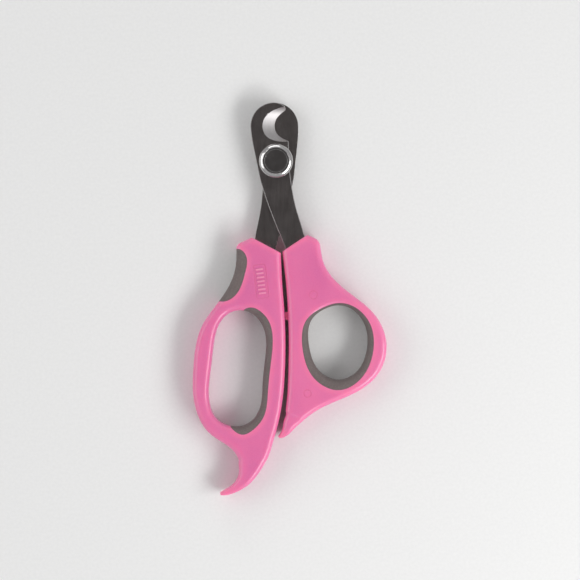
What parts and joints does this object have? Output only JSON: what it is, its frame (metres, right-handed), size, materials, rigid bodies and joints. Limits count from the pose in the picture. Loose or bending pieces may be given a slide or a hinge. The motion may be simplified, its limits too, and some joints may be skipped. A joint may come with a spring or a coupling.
{
  "type": "scissor nail clipper",
  "caption": "Pet nail scissors with notched round-nosed steel blades, pink loop handles with soft grey grips, a small-finger hook and a screwed pivot.",
  "frame": {"origin": "centre of the footprint of the closed clipper, on the flat surface it lies on", "axes": "+Z out of the front face, away from the surface it lies on; +Y from the handles to the blade tips; +X towards the thumb loop"},
  "size_m": [0.0714, 0.1422, 0.0092],
  "materials": {
    "blade_steel": "fine ground stainless steel",
    "pivot_steel": "polished",
    "handle_plastic": "semi-gloss moulded",
    "grip_rubber": "matt soft-touch"
  },
  "bodies": {
    "thumb_side": {"front_blade": "blade_steel", "thumb_handle": "handle_plastic", "thumb_loop_grip": "grip_rubber", "pivot_post": "pivot_steel", "pivot_screw": "pivot_steel", "spring_washer": "pivot_steel"},
    "finger_side": {"back_blade": "blade_steel", "finger_handle": "handle_plastic", "finger_loop_grip": "grip_rubber", "index_finger_pad": "grip_rubber"}
  },
  "joints": [
    {"name": "pivot_hinge", "type": "hinge", "parent": "thumb_side", "child": "finger_side", "pos_m": [-0.00134, 0.0498, 0.0045], "axis": [0, 0, -1], "range_deg": [0, 60]}
  ]
}
